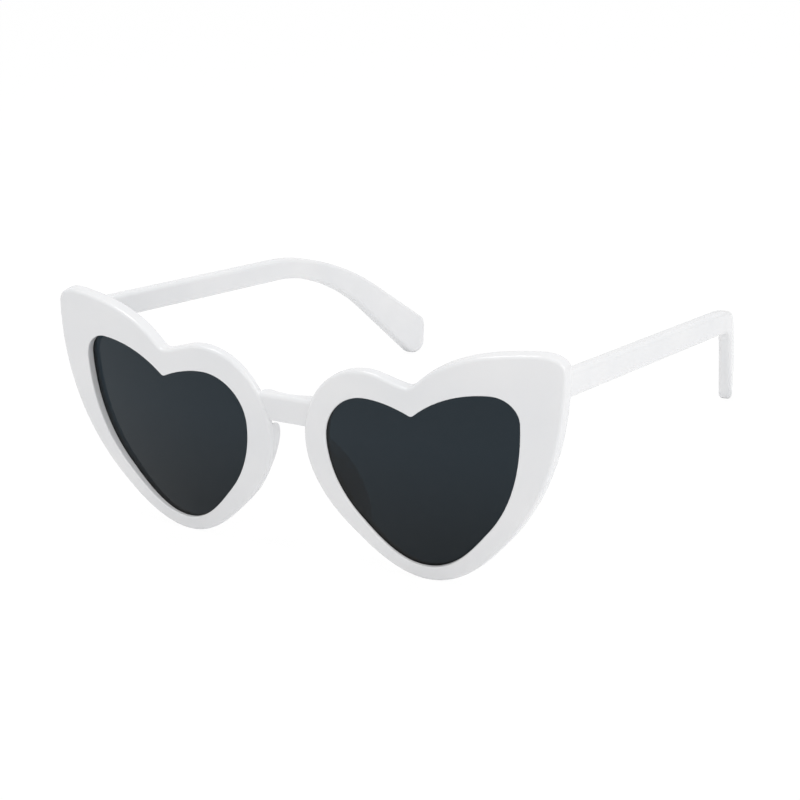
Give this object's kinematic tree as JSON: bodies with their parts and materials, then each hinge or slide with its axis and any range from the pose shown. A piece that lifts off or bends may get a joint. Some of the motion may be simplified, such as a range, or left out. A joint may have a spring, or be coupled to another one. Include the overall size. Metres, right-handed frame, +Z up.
{
  "type": "sunglasses",
  "caption": "Heart shaped sunglasses with upswept wings: a glossy moulded front, dark tinted lenses and temples that fold on small screwed hinges.",
  "frame": {"origin": "bottom centre of the bounding box, on the table that the open sunglasses stand on", "axes": "+Z up, -Y the way the lenses face, +Y along the open temples, +X towards the temple on the viewer's right when the front is looked at"},
  "size_m": [0.1484, 0.156, 0.0621],
  "materials": {
    "white_plastic": "glossy moulded white polycarbonate",
    "smoke_lens": "smoke grey tinted clear polycarbonate, polished",
    "hinge_metal": "nickel plated nickel silver",
    "screw_steel": "turned stainless steel"
  },
  "bodies": {
    "front": {"frame_front": "white_plastic", "lens_right": "smoke_lens", "lens_left": "smoke_lens", "front_hinge_leaf_right": "hinge_metal", "front_hinge_leaf_left": "hinge_metal", "hinge_screw_right": "screw_steel", "hinge_screw_left": "screw_steel", "front_leaf_screw_1_right": "screw_steel", "front_leaf_screw_1_left": "screw_steel", "front_leaf_screw_2_right": "screw_steel", "front_leaf_screw_2_left": "screw_steel"},
    "right_temple": {"temple_right": "white_plastic", "temple_hinge_leaf_right": "hinge_metal", "temple_leaf_screw_1_right": "screw_steel", "temple_leaf_screw_2_right": "screw_steel"},
    "left_temple": {"temple_left": "white_plastic", "temple_hinge_leaf_left": "hinge_metal", "temple_leaf_screw_1_left": "screw_steel", "temple_leaf_screw_2_left": "screw_steel"}
  },
  "joints": [
    {"name": "right_temple_fold", "type": "hinge", "parent": "front", "child": "right_temple", "pos_m": [0.06735, -0.06644, 0.05291], "axis": [0, -0.077, 0.997], "range_deg": [0, 87]},
    {"name": "left_temple_fold", "type": "hinge", "parent": "front", "child": "left_temple", "pos_m": [-0.06735, -0.06644, 0.05291], "axis": [0, 0.077, -0.997], "range_deg": [0, 80]}
  ]
}
